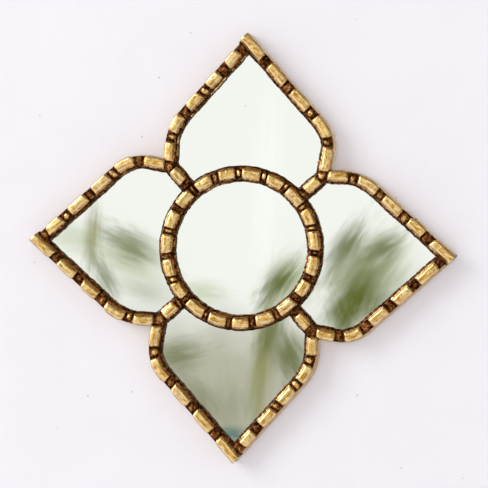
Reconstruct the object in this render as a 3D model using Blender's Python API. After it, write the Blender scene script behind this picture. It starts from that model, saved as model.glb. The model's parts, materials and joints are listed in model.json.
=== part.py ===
"""Wall mirror in the form of a flower with four pointed petals.

Carved and gilded wood rails frame a round pane and four petal panes of mirror glass.
The panes lie on a hardboard panel, which pins hold in the rebate behind the rails.
The mirror hangs on a wire ring that swings in a strap on the back of the panel.

Sizes are in metres. The mirror hangs in the XZ plane and faces -Y, with its back on the
wall at Y = 0. The origin is on the wall, level with the point where a nail carries the
ring. Places on the mirror are written as a point in plan, (x, z) from the centre of the
flower, and a depth measured forward from the wall.
"""

import math

import bmesh
import bpy
from mathutils import Matrix, Vector

# Outline of the flower, to the centrelines of the rails
TIP_REACH = 0.1220  # centre of the flower to where the two arms of a petal cross
WIDE_SHOULDER_OUT = 0.0510  # corner that the clockwise shoulder rounds off, from the petal's axis
WIDE_SHOULDER_UP = 0.0682  # and along the axis from the centre of the flower
WIDE_SHOULDER_RADIUS = 0.0220
NARROW_SHOULDER_OUT = 0.0443
NARROW_SHOULDER_UP = 0.0696
NARROW_SHOULDER_RADIUS = 0.0300
JUNCTION_REACH = 0.0647  # centre of the flower to where two petals and a neck meet
NECK_ANGLE = math.radians(43.1)  # first neck, from +X towards +Z
RING_RADIUS = 0.0444

# Rail section
RAIL_WIDTH = 0.0086
PAD_WIDTH = 0.0056  # top of the carved crown, between the flanks
PAD_EDGE = 0.0005  # worn edge of the crown
CROWN_HEIGHT = 0.0045  # from the straight edge of a rail up to its pads
LIP_EDGE = 0.0014  # straight edge of the lip, between the glass and the crown
OUTER_WALL = 0.0040  # wall that an arm keeps behind its lip
SPINE_WIDTH = 0.0024  # tongue of the ring and the necks, between two panes

# Layers behind the lip
GLASS_THICKNESS = 0.0020
PANEL_THICKNESS = 0.0030
HANGER_RECESS = 0.0040  # from the wall to the back of the panel
BEDDING_GAP = 0.0003  # glue line between neighbouring pieces
EDGE_CLEARANCE = 0.0004  # around the edges of the panes and the panel

# Carving: pads, and from pad to pad a notch that holds a reel between two grooves
PADS_PER_ARM = 5
PADS_ON_RING = 19
RING_NOTCH_ANGLE = math.radians(36)  # one notch of the ring, from +X towards +Z
ARM_NOTCH = 0.0070
RING_NOTCH = 0.0050
GROOVE_RUN = 0.0012  # from the edge of a pad to the bottom of its groove
GROOVE_DEPTH = 0.0023
REEL_DROP = 0.0009  # crest of the reel below the pads
REEL_CREST = 0.0010

# Pins that hold the panel, and nails through the tips
PIN_RADIUS = 0.0006
PIN_LENGTH = 0.0060
PIN_BITE = 0.0026  # length of a pin that is in the wood
PIN_FROM_TIP = 0.0280
PIN_FROM_JUNCTION = 0.0210
NAIL_RADIUS = 0.0006
NAIL_LENGTH = 0.0140
NAIL_SINK = 0.0004  # head below the face of the wood
HOLE_CLEARANCE = 0.00015

# Ring hanger
HANGER_HEIGHT = 0.0880  # centre of the flower to the hinge of the ring
STRAP_WIDTH = 0.0080
STRAP_LENGTH = 0.0220
STRAP_GAUGE = 0.0006
STRAP_CORNER = 0.0030
BARREL_TURN = math.radians(300)
WIRE_RADIUS = 0.00075
WIRE_CLEARANCE = 0.0001
HANGER_RING_WIDTH = 0.0120  # between the middles of the two legs
HANGER_RING_LEG = 0.0040  # straight leg, from the hinge to the bow
HANGER_RING_BEND = 0.0014
UPPER_SCREW_DROP = 0.0060  # below the hinge
LOWER_SCREW_DROP = 0.0170
SCREW_HEAD_RADIUS = 0.0022
SCREW_RIM_HEIGHT = 0.0004
SCREW_DOME_RADIUS = 0.0012
SCREW_HEAD_HEIGHT = 0.0011
SCREW_SHANK_RADIUS = 0.0010
SCREW_SHANK_LENGTH = 0.0030

# Facets
ARC_STEP = math.radians(9)  # along the curves of rails and panes
ROLL_STEP = math.radians(24)  # round the strap's barrel
CORNER_STEPS = 3
BOW_STEPS = 12
PIN_SIDES = 8
SCREW_SIDES = 12
WIRE_BEVEL = 2
SMOOTH_ANGLE = math.radians(50)
SAME_PLACE = 0.0004  # stations of a sweep closer than this are one

# Petals and necks are listed clockwise, as seen from the front
PETALS = ("top", "right", "bottom", "left")
WIDE_SIDES = ("right", "lower", "left", "upper")
NARROW_SIDES = ("left", "upper", "right", "lower")
NECKS = ("upper_right", "lower_right", "lower_left", "upper_left")

# Depths of the layers, forward from the wall
PANEL_FRONT = HANGER_RECESS + PANEL_THICKNESS
GLASS_BACK = PANEL_FRONT + BEDDING_GAP
GLASS_FRONT = GLASS_BACK + GLASS_THICKNESS
LIP_BACK = GLASS_FRONT + BEDDING_GAP
CROWN_BASE = LIP_BACK + LIP_EDGE
FRAME_DEPTH = CROWN_BASE + CROWN_HEIGHT

HALF_RAIL = RAIL_WIDTH / 2
WALL_FACE = HALF_RAIL - OUTER_WALL  # inner face of an arm's wall, from its centreline
REBATE_EDGE = WALL_FACE - EDGE_CLEARANCE  # edge of the panel and the panes in an arm
SPINE_EDGE = SPINE_WIDTH / 2 + EDGE_CLEARANCE  # edge of a pane beside a tongue
NECK_DIRECTION = Vector((math.cos(NECK_ANGLE), math.sin(NECK_ANGLE)))
NECK_SIDE = Vector((-NECK_DIRECTION.y, NECK_DIRECTION.x))
JUNCTION = NECK_DIRECTION * JUNCTION_REACH
BARREL_RADIUS = WIRE_RADIUS + WIRE_CLEARANCE + STRAP_GAUGE
NAIL_HEIGHT = HANGER_HEIGHT + HANGER_RING_LEG + HANGER_RING_WIDTH / 2 - WIRE_RADIUS


def place(point, depth):
    """The point in space for a point in plan and a depth."""
    return Vector((point.x, -depth, point.y))


def flat(direction):
    """The direction in space for a direction in plan."""
    return Vector((direction.x, 0, direction.y))


def turned(point, quarters):
    """A point or direction in the top petal's plan, turned clockwise by quarter turns."""
    for _ in range(quarters % len(PETALS)):
        point = Vector((point.y, -point.x))
    return point


def crossing(first, second):
    """Where two lines in plan cross, each given as its normal and its distance along it."""
    (m, c), (n, d) = first, second
    scale = m.x * n.y - m.y * n.x
    return Vector((c * n.y - d * m.y, d * m.x - c * n.x)) / scale


class Arm:
    """Centreline of one arm of the top petal: from the tip to a rounded shoulder and the junction."""

    def __init__(self, wide):
        self.side = 1 if wide else -1
        if wide:
            shoulder = Vector((WIDE_SHOULDER_OUT, WIDE_SHOULDER_UP))
            self.radius = WIDE_SHOULDER_RADIUS
            self.end = JUNCTION
        else:
            shoulder = Vector((NARROW_SHOULDER_OUT, NARROW_SHOULDER_UP))
            self.radius = NARROW_SHOULDER_RADIUS
            self.end = turned(JUNCTION, -1)
        first_run = shoulder - Vector((0, TIP_REACH))
        last_run = Vector((abs(self.end.x), self.end.y)) - shoulder
        self.lean = math.atan2(first_run.x, -first_run.y)  # from the petal's axis, at the tip
        self.turn = self.lean - math.atan2(last_run.x, -last_run.y)
        tangent = self.radius * math.tan(self.turn / 2)
        self.arc_start = first_run.length - tangent
        self.arc_end = self.arc_start + self.radius * self.turn
        self.length = self.arc_end + last_run.length - tangent
        inward = Vector((-math.cos(self.lean), -math.sin(self.lean)))
        self.arc_centre = shoulder - first_run.normalized() * tangent + inward * self.radius

    def at(self, distance, offset=0.0):
        """Point in plan that far along the arm from the tip, moved out by offset, and the way out."""
        turned_so_far = min(max((distance - self.arc_start) / self.radius, 0), self.turn)
        angle = self.lean - turned_so_far
        out = Vector((math.cos(angle), math.sin(angle)))
        onward = Vector((out.y, -out.x))
        if distance < self.arc_start:
            point = Vector((0, TIP_REACH)) + onward * distance
        else:
            point = self.arc_centre + out * self.radius
            point += onward * max(distance - self.arc_end, 0)
        point += out * offset
        return Vector((self.side * point.x, point.y)), Vector((self.side * out.x, out.y))

    def onward(self, distance):
        """The way along the arm towards the junction."""
        _, out = self.at(distance)
        return Vector((out.y, -out.x)) * self.side

    def bends(self):
        """Distances at which the shoulder's curve needs a station."""
        steps = math.ceil(self.turn / ARC_STEP)
        return [self.arc_start + self.radius * self.turn * i / steps for i in range(steps + 1)]

    def line(self, distance, offset):
        """The line along the arm there, moved out by offset, for a crossing."""
        point, out = self.at(distance, offset)
        return out, out.dot(point)


WIDE_ARM = Arm(True)
NARROW_ARM = Arm(False)
TIP_ANGLE = WIDE_ARM.lean + NARROW_ARM.lean

# At a junction the wide arm of a petal and the narrow arm of the next one are mitred, and the
# neck ends where its edges meet the arms' inner edges
WIDE_AWAY = -WIDE_ARM.onward(WIDE_ARM.length)
NARROW_AWAY = turned(-NARROW_ARM.onward(NARROW_ARM.length), 1)
ACROSS_MITRE = (NARROW_AWAY - WIDE_AWAY).normalized()
ARM_TO_NECK = math.pi - WIDE_AWAY.angle(NARROW_AWAY) / 2
NECK_END = JUNCTION_REACH - HALF_RAIL / math.tan(ARM_TO_NECK / 2)


# Rail sections, as pairs of distance from the centreline and depth


def crown_half_width(drop):
    """Half the width of the crown that far below the pads."""
    return (PAD_WIDTH + (RAIL_WIDTH - PAD_WIDTH) * drop / CROWN_HEIGHT) / 2


def crown(drop):
    """Outer half of the crown, from a rail's straight edge up the flank and over the worn edge."""
    top = FRAME_DEPTH - drop
    return [
        (HALF_RAIL, CROWN_BASE),
        (crown_half_width(drop + PAD_EDGE), top - PAD_EDGE),
        (crown_half_width(drop) - PAD_EDGE, top),
    ]


def mirrored(half):
    return [(-across, depth) for across, depth in reversed(half)]


def arm_section(drop):
    """Crown and lip, and the wall that stands behind them on the outside."""
    half = crown(drop)
    lip = [(-HALF_RAIL, LIP_BACK), (WALL_FACE, LIP_BACK)]
    return [(HALF_RAIL, 0), *half, *mirrored(half), *lip, (WALL_FACE, 0)]


def spine_section(drop):
    """Crown and two lips, on a tongue that goes down between two panes to the panel."""
    tongue = [(SPINE_WIDTH / 2, GLASS_BACK), (SPINE_WIDTH / 2, LIP_BACK)]
    half = [*tongue, (HALF_RAIL, LIP_BACK), *crown(drop)]
    return half + mirrored(half)


# Carving along a rail, as pairs of distance along the rail and drop below the pads


def notch(centre, length):
    """Two grooves with a reel between them."""
    half = length / 2
    near = [(-half, 0), (GROOVE_RUN - half, GROOVE_DEPTH), (-REEL_CREST / 2, REEL_DROP)]
    far = [(-along, drop) for along, drop in reversed(near)]
    return [(centre + along, drop) for along, drop in near + far]


def drop_at(distance, carving):
    """Depth of the carving at a distance, read between its points."""
    for (start, low), (end, high) in zip(carving, carving[1:]):
        if start <= distance <= end:
            return low + (high - low) * (distance - start) / (end - start)
    return 0


def stations(start, end, carving, bends=()):
    """Distance and drop of each cross-section of a rail, in order."""
    cuts = [start, end]
    cuts += [d for d, _ in carving if start + SAME_PLACE < d < end - SAME_PLACE]
    for bend in bends:
        if all(abs(bend - cut) > SAME_PLACE for cut in cuts):
            cuts.append(bend)
    return [(d, drop_at(d, carving)) for d in sorted(cuts)]


# Meshes and objects


def material(name, colour, roughness, metallic):
    made = bpy.data.materials.new(name)
    made.use_nodes = True
    shader = made.node_tree.nodes["Principled BSDF"]
    shader.inputs["Base Color"].default_value = (*colour, 1)
    shader.inputs["Roughness"].default_value = roughness
    shader.inputs["Metallic"].default_value = metallic
    return made


def mesh_from(bm, name, smooth=False):
    bmesh.ops.recalc_face_normals(bm, faces=bm.faces)
    mesh = bpy.data.meshes.new(name)
    bm.to_mesh(mesh)
    bm.free()
    if smooth:
        mesh.shade_smooth()
        mesh.set_sharp_from_angle(angle=SMOOTH_ANGLE)
    return mesh


def add(name, data, parent, finish=None, matrix=None):
    """A named object in its parent's frame. An empty or a cutter has no finish."""
    made = bpy.data.objects.new(name, data)
    if finish and not data.materials:
        data.materials.append(finish)
    bpy.context.scene.collection.objects.link(made)
    made.parent = parent
    if matrix:
        made.matrix_local = matrix
    return made


def cutter(name, mesh, parent, matrix=None):
    """A shape that is only there to be cut away from others."""
    made = add(name, mesh, parent, matrix=matrix)
    made.hide_render = True
    made.display_type = "WIRE"
    return made


def cut(target, tool):
    modifier = target.modifiers.new(tool.name, "BOOLEAN")
    modifier.operation = "DIFFERENCE"
    modifier.solver = "EXACT"
    modifier.object = tool


def sweep(sections, closed=False):
    """Skin over cross-sections that all have as many points, with caps on open ends."""
    bm = bmesh.new()
    rings = [[bm.verts.new(point) for point in section] for section in sections]
    pairs = list(zip(rings, rings[1:]))
    if closed:
        pairs.append((rings[-1], rings[0]))
    for first, second in pairs:
        for i in range(len(first)):
            j = (i + 1) % len(first)
            bm.faces.new((first[i], first[j], second[j], second[i]))
    if not closed:
        bm.faces.new(rings[0])
        bm.faces.new(rings[-1])
    return bm


def trim(bm, point, away):
    """Cuts off what lies beyond a plane, on the side that away points to, and closes the cut."""
    everything = bm.verts[:] + bm.edges[:] + bm.faces[:]
    bmesh.ops.bisect_plane(bm, geom=everything, plane_co=point, plane_no=away, clear_outer=True)
    bmesh.ops.holes_fill(bm, edges=[edge for edge in bm.edges if edge.is_boundary])


def plate(outline, back, front):
    """Plate with that outline in plan, between two depths."""
    return sweep([[place(point, depth) for point in outline] for depth in (back, front)])


def rod(radius, length, sides, name):
    bm = bmesh.new()
    bmesh.ops.create_cone(
        bm, cap_ends=True, segments=sides, radius1=radius, radius2=radius, depth=length
    )
    return mesh_from(bm, name, smooth=True)


def along(direction, middle):
    """Matrix that lays a rod along a direction, with its middle at a point."""
    turn = direction.to_track_quat("Z", "Y").to_matrix().to_4x4()
    return Matrix.Translation(middle) @ turn


# Rails


def arm_mesh(arm, through, name):
    """One arm, mitred at the junction. A through arm also runs past its neighbour at the tip."""
    if through:
        first = -HALF_RAIL / math.sin(TIP_ANGLE)
    else:
        first = (HALF_RAIL + BEDDING_GAP) / math.sin(TIP_ANGLE) + ARM_NOTCH / 2
    pitch = (arm.length - first) / PADS_PER_ARM
    carving = []
    for i in range(1 if through else 0, PADS_PER_ARM + 1):
        carving += notch(first + i * pitch, ARM_NOTCH)
    sections = []
    for distance, drop in stations(-2 * RAIL_WIDTH, arm.length + RAIL_WIDTH, carving, arm.bends()):
        section = arm_section(drop)
        sections.append([place(arm.at(distance, across)[0], depth) for across, depth in section])
    bm = sweep(sections)
    across_mitre = ACROSS_MITRE if arm is WIDE_ARM else -turned(ACROSS_MITRE, -1)
    trim(bm, place(arm.end - across_mitre * BEDDING_GAP / 2, 0), flat(across_mitre))
    to_ring = -arm.end.normalized()
    trim(bm, place(-to_ring * NECK_END, 0), flat(to_ring))
    if through:
        butt = NARROW_ARM if arm is WIDE_ARM else WIDE_ARM
        point, out = butt.at(0, HALF_RAIL)
        trim(bm, place(point, 0), flat(out))
    return mesh_from(bm, name)


def scribe_mesh(through, name):
    """Plain shape of a through arm and its glue line, which the end of its neighbour fits over."""
    face = -HALF_RAIL - BEDDING_GAP
    wall = WALL_FACE - BEDDING_GAP
    step = LIP_BACK - BEDDING_GAP
    far = 3 * RAIL_WIDTH
    profile = [(face, far), (face, step), (wall, step), (wall, -far), (far, -far), (far, far)]
    sections = []
    for distance in (-far, far):
        sections.append([place(through.at(distance, across)[0], depth) for across, depth in profile])
    return mesh_from(sweep(sections), name)


def ring_mesh():
    pitch = 2 * math.pi * RING_RADIUS / PADS_ON_RING
    carving = []
    for i in range(PADS_ON_RING):
        carving += notch(i * pitch, RING_NOTCH)
        carving.append(((i + 0.5) * pitch, 0))
    sections = []
    for distance, drop in carving:
        angle = RING_NOTCH_ANGLE + distance / RING_RADIUS
        out = Vector((math.cos(angle), math.sin(angle)))
        section = spine_section(drop)
        sections.append([place(out * (RING_RADIUS + across), depth) for across, depth in section])
    return mesh_from(sweep(sections, closed=True), "ring_rail")


def neck_mesh():
    """Short rail from the ring to the junction, hollowed at one end to fit round the ring."""
    start = RING_RADIUS + HALF_RAIL + BEDDING_GAP
    carving = notch(start, RING_NOTCH) + notch(JUNCTION_REACH, ARM_NOTCH)
    sections = []
    for distance, drop in stations(start, NECK_END - BEDDING_GAP, carving):
        section = []
        for across, depth in spine_section(drop):
            reach = math.sqrt(start**2 - across**2) if distance == start else distance
            section.append(place(NECK_DIRECTION * reach + NECK_SIDE * across, depth))
        sections.append(section)
    return mesh_from(sweep(sections), "neck")


# Panes and panel


def arm_edge(arm):
    """Edge of the rebate round an arm's shoulder, from the tip's side to the junction's."""
    return [arm.at(distance, REBATE_EDGE)[0] for distance in arm.bends()]


def tip_corner():
    """Corner of the rebate in a petal's tip."""
    return crossing(WIDE_ARM.line(0, REBATE_EDGE), NARROW_ARM.line(0, REBATE_EDGE))


def arc(radius, start, end):
    """Points on a circle about the centre of the flower."""
    steps = math.ceil((end - start) / ARC_STEP)
    angles = [start + (end - start) * i / steps for i in range(steps + 1)]
    return [Vector((radius * math.cos(a), radius * math.sin(a))) for a in angles]


def pane_outline():
    """Outline of the top pane: round the ring, along a neck, both arms and the other neck."""
    radius = RING_RADIUS + SPINE_EDGE
    lean = math.asin(SPINE_EDGE / radius)
    ring_side = arc(radius, NECK_ANGLE + lean, NECK_ANGLE + math.pi / 2 - lean)
    wide_end = crossing(WIDE_ARM.line(WIDE_ARM.length, REBATE_EDGE), (NECK_SIDE, SPINE_EDGE))
    narrow_end = crossing(
        NARROW_ARM.line(NARROW_ARM.length, REBATE_EDGE), (turned(NECK_SIDE, -1), -SPINE_EDGE)
    )
    narrow_side = [narrow_end, *reversed(arm_edge(NARROW_ARM))]
    return [*ring_side, *narrow_side, tip_corner(), *arm_edge(WIDE_ARM), wide_end]


def panel_outline():
    """Outline of the panel: round all four petals, inside the walls of the arms."""
    next_out, next_distance = NARROW_ARM.line(NARROW_ARM.length, REBATE_EDGE)
    next_line = (turned(next_out, 1), next_distance)
    valley = crossing(WIDE_ARM.line(WIDE_ARM.length, REBATE_EDGE), next_line)
    petal = [*reversed(arm_edge(NARROW_ARM)), tip_corner(), *arm_edge(WIDE_ARM), valley]
    return [turned(point, i) for i in range(len(PETALS)) for point in petal]


# Pins and nails


def pin_matrix(arm, distance):
    """A pin against the back of the panel, driven straight out into an arm's wall."""
    point, out = arm.at(distance, WALL_FACE + PIN_BITE - PIN_LENGTH / 2)
    return along(flat(out), place(point, HANGER_RECESS - BEDDING_GAP - PIN_RADIUS))


def nail_matrix(through, butt):
    """A nail through the wall of the through arm, into the end of the butt arm's wall."""
    wall_middle = butt.line(0, HALF_RAIL - OUTER_WALL / 2)
    head = crossing(wall_middle, through.line(0, HALF_RAIL))
    middle = head + butt.onward(0) * (NAIL_SINK + NAIL_LENGTH / 2)
    return along(flat(butt.onward(0)), place(middle, LIP_BACK / 2))


# Hanger, with its hinge at the origin, +Z up the wall and +Y towards the wall


def strap_mesh():
    """Strip of sheet that lies on the panel and rolls into a barrel round the wire."""
    inside = BARREL_RADIUS - STRAP_GAUGE
    steps = math.ceil(BARREL_TURN / ROLL_STEP)
    angles = [BARREL_TURN * i / steps for i in range(steps + 1)]
    outer = [(-math.cos(a) * BARREL_RADIUS, math.sin(a) * BARREL_RADIUS) for a in angles]
    inner = [(-math.cos(a) * inside, math.sin(a) * inside) for a in reversed(angles)]
    foot = [(-inside, -STRAP_LENGTH), (-BARREL_RADIUS, -STRAP_LENGTH)]
    sides = (-STRAP_WIDTH / 2, STRAP_WIDTH / 2)
    bm = sweep([[Vector((x, y, z)) for y, z in (*outer, *inner, *foot)] for x in sides])
    corners = []
    for edge in bm.edges:
        first, second = (vert.co for vert in edge.verts)
        at_foot = max(first.z, second.z) < SAME_PLACE - STRAP_LENGTH
        if at_foot and abs(first.x - second.x) < SAME_PLACE:
            corners.append(edge)
    bmesh.ops.bevel(bm, geom=corners, offset=STRAP_CORNER, segments=CORNER_STEPS, profile=0.5, affect="EDGES")
    return mesh_from(bm, "hanger_strap")


def hanger_ring_curve():
    """Closed loop of wire: a bar in the barrel, two legs and a round bow."""
    half = HANGER_RING_WIDTH / 2
    corner = []
    for i in range(CORNER_STEPS + 1):
        angle = math.pi / 2 * i / CORNER_STEPS
        rise = HANGER_RING_BEND * (1 - math.cos(angle))
        corner.append((half - HANGER_RING_BEND * (1 - math.sin(angle)), rise))
    bow = []
    for i in range(BOW_STEPS + 1):
        angle = math.pi * i / BOW_STEPS
        bow.append((half * math.cos(angle), HANGER_RING_LEG + half * math.sin(angle)))
    points = [*corner, *bow, *mirrored(corner)]
    curve = bpy.data.curves.new("hanger_ring", "CURVE")
    curve.dimensions = "3D"
    curve.bevel_depth = WIRE_RADIUS
    curve.bevel_resolution = WIRE_BEVEL
    spline = curve.splines.new("POLY")
    spline.points.add(len(points) - 1)
    for slot, (x, z) in zip(spline.points, points):
        slot.co = (x, 0, z, 1)
    spline.use_cyclic_u = True
    return curve


def screw_mesh():
    """Domed head that stands on the strap, and a shank into the panel."""
    profile = [
        (SCREW_SHANK_RADIUS, -SCREW_SHANK_LENGTH),
        (SCREW_SHANK_RADIUS, 0),
        (SCREW_HEAD_RADIUS, 0),
        (SCREW_HEAD_RADIUS, SCREW_RIM_HEIGHT),
        (SCREW_DOME_RADIUS, SCREW_HEAD_HEIGHT),
    ]
    angles = [2 * math.pi * i / SCREW_SIDES for i in range(SCREW_SIDES)]
    sections = []
    for radius, height in profile:
        sections.append([Vector((radius * math.cos(a), height, radius * math.sin(a))) for a in angles])
    return mesh_from(sweep(sections), "hanger_screw", smooth=True)


# Assembly


def build_rails(mirror, gilded, steel):
    add("ring_rail", ring_mesh(), mirror, gilded)
    neck = neck_mesh()
    pin = rod(PIN_RADIUS, PIN_LENGTH, PIN_SIDES, "panel_pin")
    pin_hole = rod(
        PIN_RADIUS + HOLE_CLEARANCE, PIN_LENGTH + 2 * HOLE_CLEARANCE, PIN_SIDES, "pin_hole"
    )
    nail = rod(NAIL_RADIUS, NAIL_LENGTH, PIN_SIDES, "tip_nail")
    nail_hole = rod(NAIL_RADIUS + HOLE_CLEARANCE, NAIL_LENGTH + 2 * NAIL_SINK, PIN_SIDES, "nail_hole")
    wide_meshes = {through: arm_mesh(WIDE_ARM, through, "wide_arm") for through in (True, False)}
    narrow_meshes = {through: arm_mesh(NARROW_ARM, through, "narrow_arm") for through in (True, False)}
    scribes = {arm: scribe_mesh(arm, "scribe") for arm in (WIDE_ARM, NARROW_ARM)}
    for i, petal in enumerate(PETALS):
        turn = Matrix.Rotation(i * math.pi / 2, 4, "Y")
        hub = add(f"{petal}_petal", None, mirror, matrix=turn)
        add(f"{NECKS[i]}_neck", neck, hub, gilded)
        wide_through = i % 2 == 0
        wide = add(f"{petal}_petal_{WIDE_SIDES[i]}_arm", wide_meshes[wide_through], hub, gilded)
        narrow = add(
            f"{petal}_petal_{NARROW_SIDES[i]}_arm", narrow_meshes[not wide_through], hub, gilded
        )
        if wide_through:
            through, butt, butt_rail = WIDE_ARM, NARROW_ARM, narrow
        else:
            through, butt, butt_rail = NARROW_ARM, WIDE_ARM, wide
        cut(butt_rail, cutter(f"{petal}_scribe", scribes[through], hub))
        spot = nail_matrix(through, butt)
        add(f"{petal}_tip_nail", nail, hub, steel, spot)
        hole = cutter(f"{petal}_nail_hole", nail_hole, hub, spot)
        cut(wide, hole)
        cut(narrow, hole)
        for rail, arm in ((wide, WIDE_ARM), (narrow, NARROW_ARM)):
            places = (PIN_FROM_TIP, arm.length - PIN_FROM_JUNCTION)
            for j, distance in enumerate(places, start=1):
                name = rail.name.replace("_arm", f"_pin_{j}")
                spot = pin_matrix(arm, distance)
                add(name, pin, hub, steel, spot)
                cut(rail, cutter(f"{name}_hole", pin_hole, hub, spot))


def build_panes_and_panel(mirror, glass, hardboard):
    pane = mesh_from(plate(pane_outline(), GLASS_BACK, GLASS_FRONT), "petal_pane")
    for i, petal in enumerate(PETALS):
        add(f"{petal}_pane", pane, mirror, glass, Matrix.Rotation(i * math.pi / 2, 4, "Y"))
    rim = arc(RING_RADIUS - SPINE_EDGE, 0, 2 * math.pi)[:-1]
    add("round_pane", mesh_from(plate(rim, GLASS_BACK, GLASS_FRONT), "round_pane"), mirror, glass)
    panel = mesh_from(plate(panel_outline(), HANGER_RECESS, PANEL_FRONT), "back_panel")
    return add("back_panel", panel, mirror, hardboard)


def build_hanger(mirror, panel, steel):
    hinge_place = place(Vector((0, HANGER_HEIGHT)), HANGER_RECESS - BEDDING_GAP - BARREL_RADIUS)
    hinge = add("hanger_hinge", None, mirror, matrix=Matrix.Translation(hinge_place))
    strap = add("hanger_strap", strap_mesh(), hinge, steel)
    add("hanger_ring", hanger_ring_curve(), hinge, steel)
    screw = screw_mesh()
    hole_length = SCREW_SHANK_LENGTH + HOLE_CLEARANCE
    hole = rod(SCREW_SHANK_RADIUS + HOLE_CLEARANCE, 2 * hole_length, SCREW_SIDES, "screw_hole")
    seat = STRAP_GAUGE + HOLE_CLEARANCE - BARREL_RADIUS
    for name, drop in (("upper", UPPER_SCREW_DROP), ("lower", LOWER_SCREW_DROP)):
        spot = Vector((0, seat, -drop))
        add(f"hanger_{name}_screw", screw, hinge, steel, Matrix.Translation(spot))
        tool = cutter(f"hanger_{name}_screw_hole", hole, hinge, along(Vector((0, 1, 0)), spot))
        cut(strap, tool)
        cut(panel, tool)


def main():
    for old in list(bpy.data.objects):
        bpy.data.objects.remove(old)
    gilded = material("gilded_wood", (0.60, 0.40, 0.14), 0.42, 0.75)
    glass = material("mirror_glass", (0.90, 0.92, 0.90), 0.03, 1.0)
    hardboard = material("hardboard", (0.30, 0.17, 0.08), 0.80, 0.0)
    steel = material("plated_steel", (0.72, 0.66, 0.52), 0.35, 1.0)
    mirror = add("mirror", None, None, matrix=Matrix.Translation((0, 0, -NAIL_HEIGHT)))
    build_rails(mirror, gilded, steel)
    panel = build_panes_and_panel(mirror, glass, hardboard)
    build_hanger(mirror, panel, steel)


main()
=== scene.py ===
"""Looks of a flower wall mirror: carved and gilded rails round panes of mirror glass.

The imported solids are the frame. Finely carved rails, silvered panes and the hanger's rounded
pieces stand for their plain solids, and the panel, pins and nails get their finish.
Sizes are in metres. The mirror faces -Y and the wall is at Y = 0. Places on the mirror are
a point in plan, (x, z) from the centre of the flower, and a depth forward from the wall.
"""

import json
from math import atan2, ceil, cos, pi, radians, sin, tan

import bmesh
import bpy
import numpy as np
from mathutils import Matrix, Quaternion, Vector, noise


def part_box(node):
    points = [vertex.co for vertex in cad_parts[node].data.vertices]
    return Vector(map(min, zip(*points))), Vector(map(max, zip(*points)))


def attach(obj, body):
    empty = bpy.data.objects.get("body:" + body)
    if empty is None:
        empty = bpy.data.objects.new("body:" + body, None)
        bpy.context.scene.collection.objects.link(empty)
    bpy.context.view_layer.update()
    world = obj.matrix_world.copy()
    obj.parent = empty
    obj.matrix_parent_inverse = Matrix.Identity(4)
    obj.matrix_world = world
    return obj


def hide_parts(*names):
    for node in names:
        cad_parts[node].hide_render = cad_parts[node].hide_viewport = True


# Picture, and the view of it
PICTURE_WIDTH = 488  # pixels
PIXEL = 0.000596  # length on the mirror that a pixel covers
CENTRE_PIXEL = (242.1, 248.3)  # where the centre of the flower shows
VIEW_AZIMUTH = radians(8)
VIEW_ROLL = radians(2.15)
VIEW_DISTANCE = 1.6

# Outline of the flower, to the centrelines of the rails
TIP_REACH = 0.1220
WIDE_SHOULDER = Vector((0.0510, 0.0682))
WIDE_RADIUS = 0.0220
NARROW_SHOULDER = Vector((0.0443, 0.0696))
NARROW_RADIUS = 0.0300
JUNCTION_REACH = 0.0647
NECK_ANGLE = radians(43.1)
RING_RADIUS = 0.0444

# Rail section
RAIL_WIDTH = 0.0086
RING_HALF = 0.0049  # half the width of the ring, which is carved a little wider
NECK_HALF = 0.0046
ARM_TOP = (0.0027, 0.0012)  # from the centreline to the edges of a pad's flat, outside and inside
RING_TOP = (0.0020, 0.0019)
NECK_TOP = (0.0019, 0.0019)
BEVEL_DROP = 0.0009  # the bevel beside a pad's flat
BEVEL_RUN = 0.0007
LIP_EDGE = 0.0014
LIP_LINE = 0.00015  # pale line along the foot of a lip, a painted highlight
LIP_WORN = 0.92  # of half a crown, where the edge over the glass begins to wear, with a painted highlight
WEAR_LENGTHS = (0.061, 0.023, 0.0091)
WEAR_LEVEL = 0.35
WEAR_EASE = 0.5
WORN_RAILS = {"top_petal_left_arm": 1.0, "ring_rail": 0.6}  # how much wear the inner edges show, and with it their painted highlight
LITTLE_WORN = 0.3  # the same on the other rails
OUTER_WALL = 0.0040
SPINE_WIDTH = 0.0024
BEDDING_GAP = 0.0003
PAD_CROWN = 0.00024  # rise of a pad from its edges to its middle
EDGE_ROUND = 0.0005  # length over which a flank rounds into a pad
WALL_BEVEL = 0.0004  # worn back edge of an arm

# Carving
PADS_PER_ARM = 5
PADS_ON_RING = 19
RING_NOTCH_ANGLE = radians(36)
ARM_NOTCH = 0.0071
NOTCH_DRIFTS = {"right_petal_lower_arm": 0.0030}  # by which an arm's notches lie further from its tip
RING_NOTCH = 0.0049
GROOVE_RUN = 0.0010
GROOVE_DEPTH = 0.0023
GROOVE_CLEAR = 0.6  # of a groove's run, what a bead leaves free
BEAD_DROP = 0.0011  # how far a bead lies below the pads
BEAD_LIFT = 0.0004
BEAD_OFFSET = 0.0006
BEAD_SHARE = 0.74  # length of a bead, of the room between its two grooves
BEAD_ACROSS = 0.0031  # half a bead's width
BEAD_SPREAD = 0.0008
BEAD_SQUARE = 2.6  # power that makes a bead blocky
BUTT_BEAD_DROP = 0.0018
PAD_END_DROP = 0.00040
PAD_END_RUN = 0.0012
PAD_CORNER = 0.0003  # by which a pad's corners are rounded off
PAD_CORNER_REACH = 0.0028
PAD_CORNER_LIMIT = 1.3  # of that reach, where the rounding grows no more
PAD_CORNER_POWER = 4
WAIST = 0.00070  # how far the sides draw in at a notch
WAIST_RUN = 0.0016
LIP_WAIST = 0.30  # of the waist, what shows in the lip over the glass
WAIST_DEPTH = 0.0040  # from the wall, where the sides begin to draw in
TIP_ROUND = 0.0016  # the outer corner at a tip
SEAT_OVERLAP = 0.0006  # depth to which a fitted end is let into its neighbour's flank
KNOB_RADIUS = 0.0040
KNOB_DROP = 0.0010
KNOB_RINGS = 10

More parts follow.
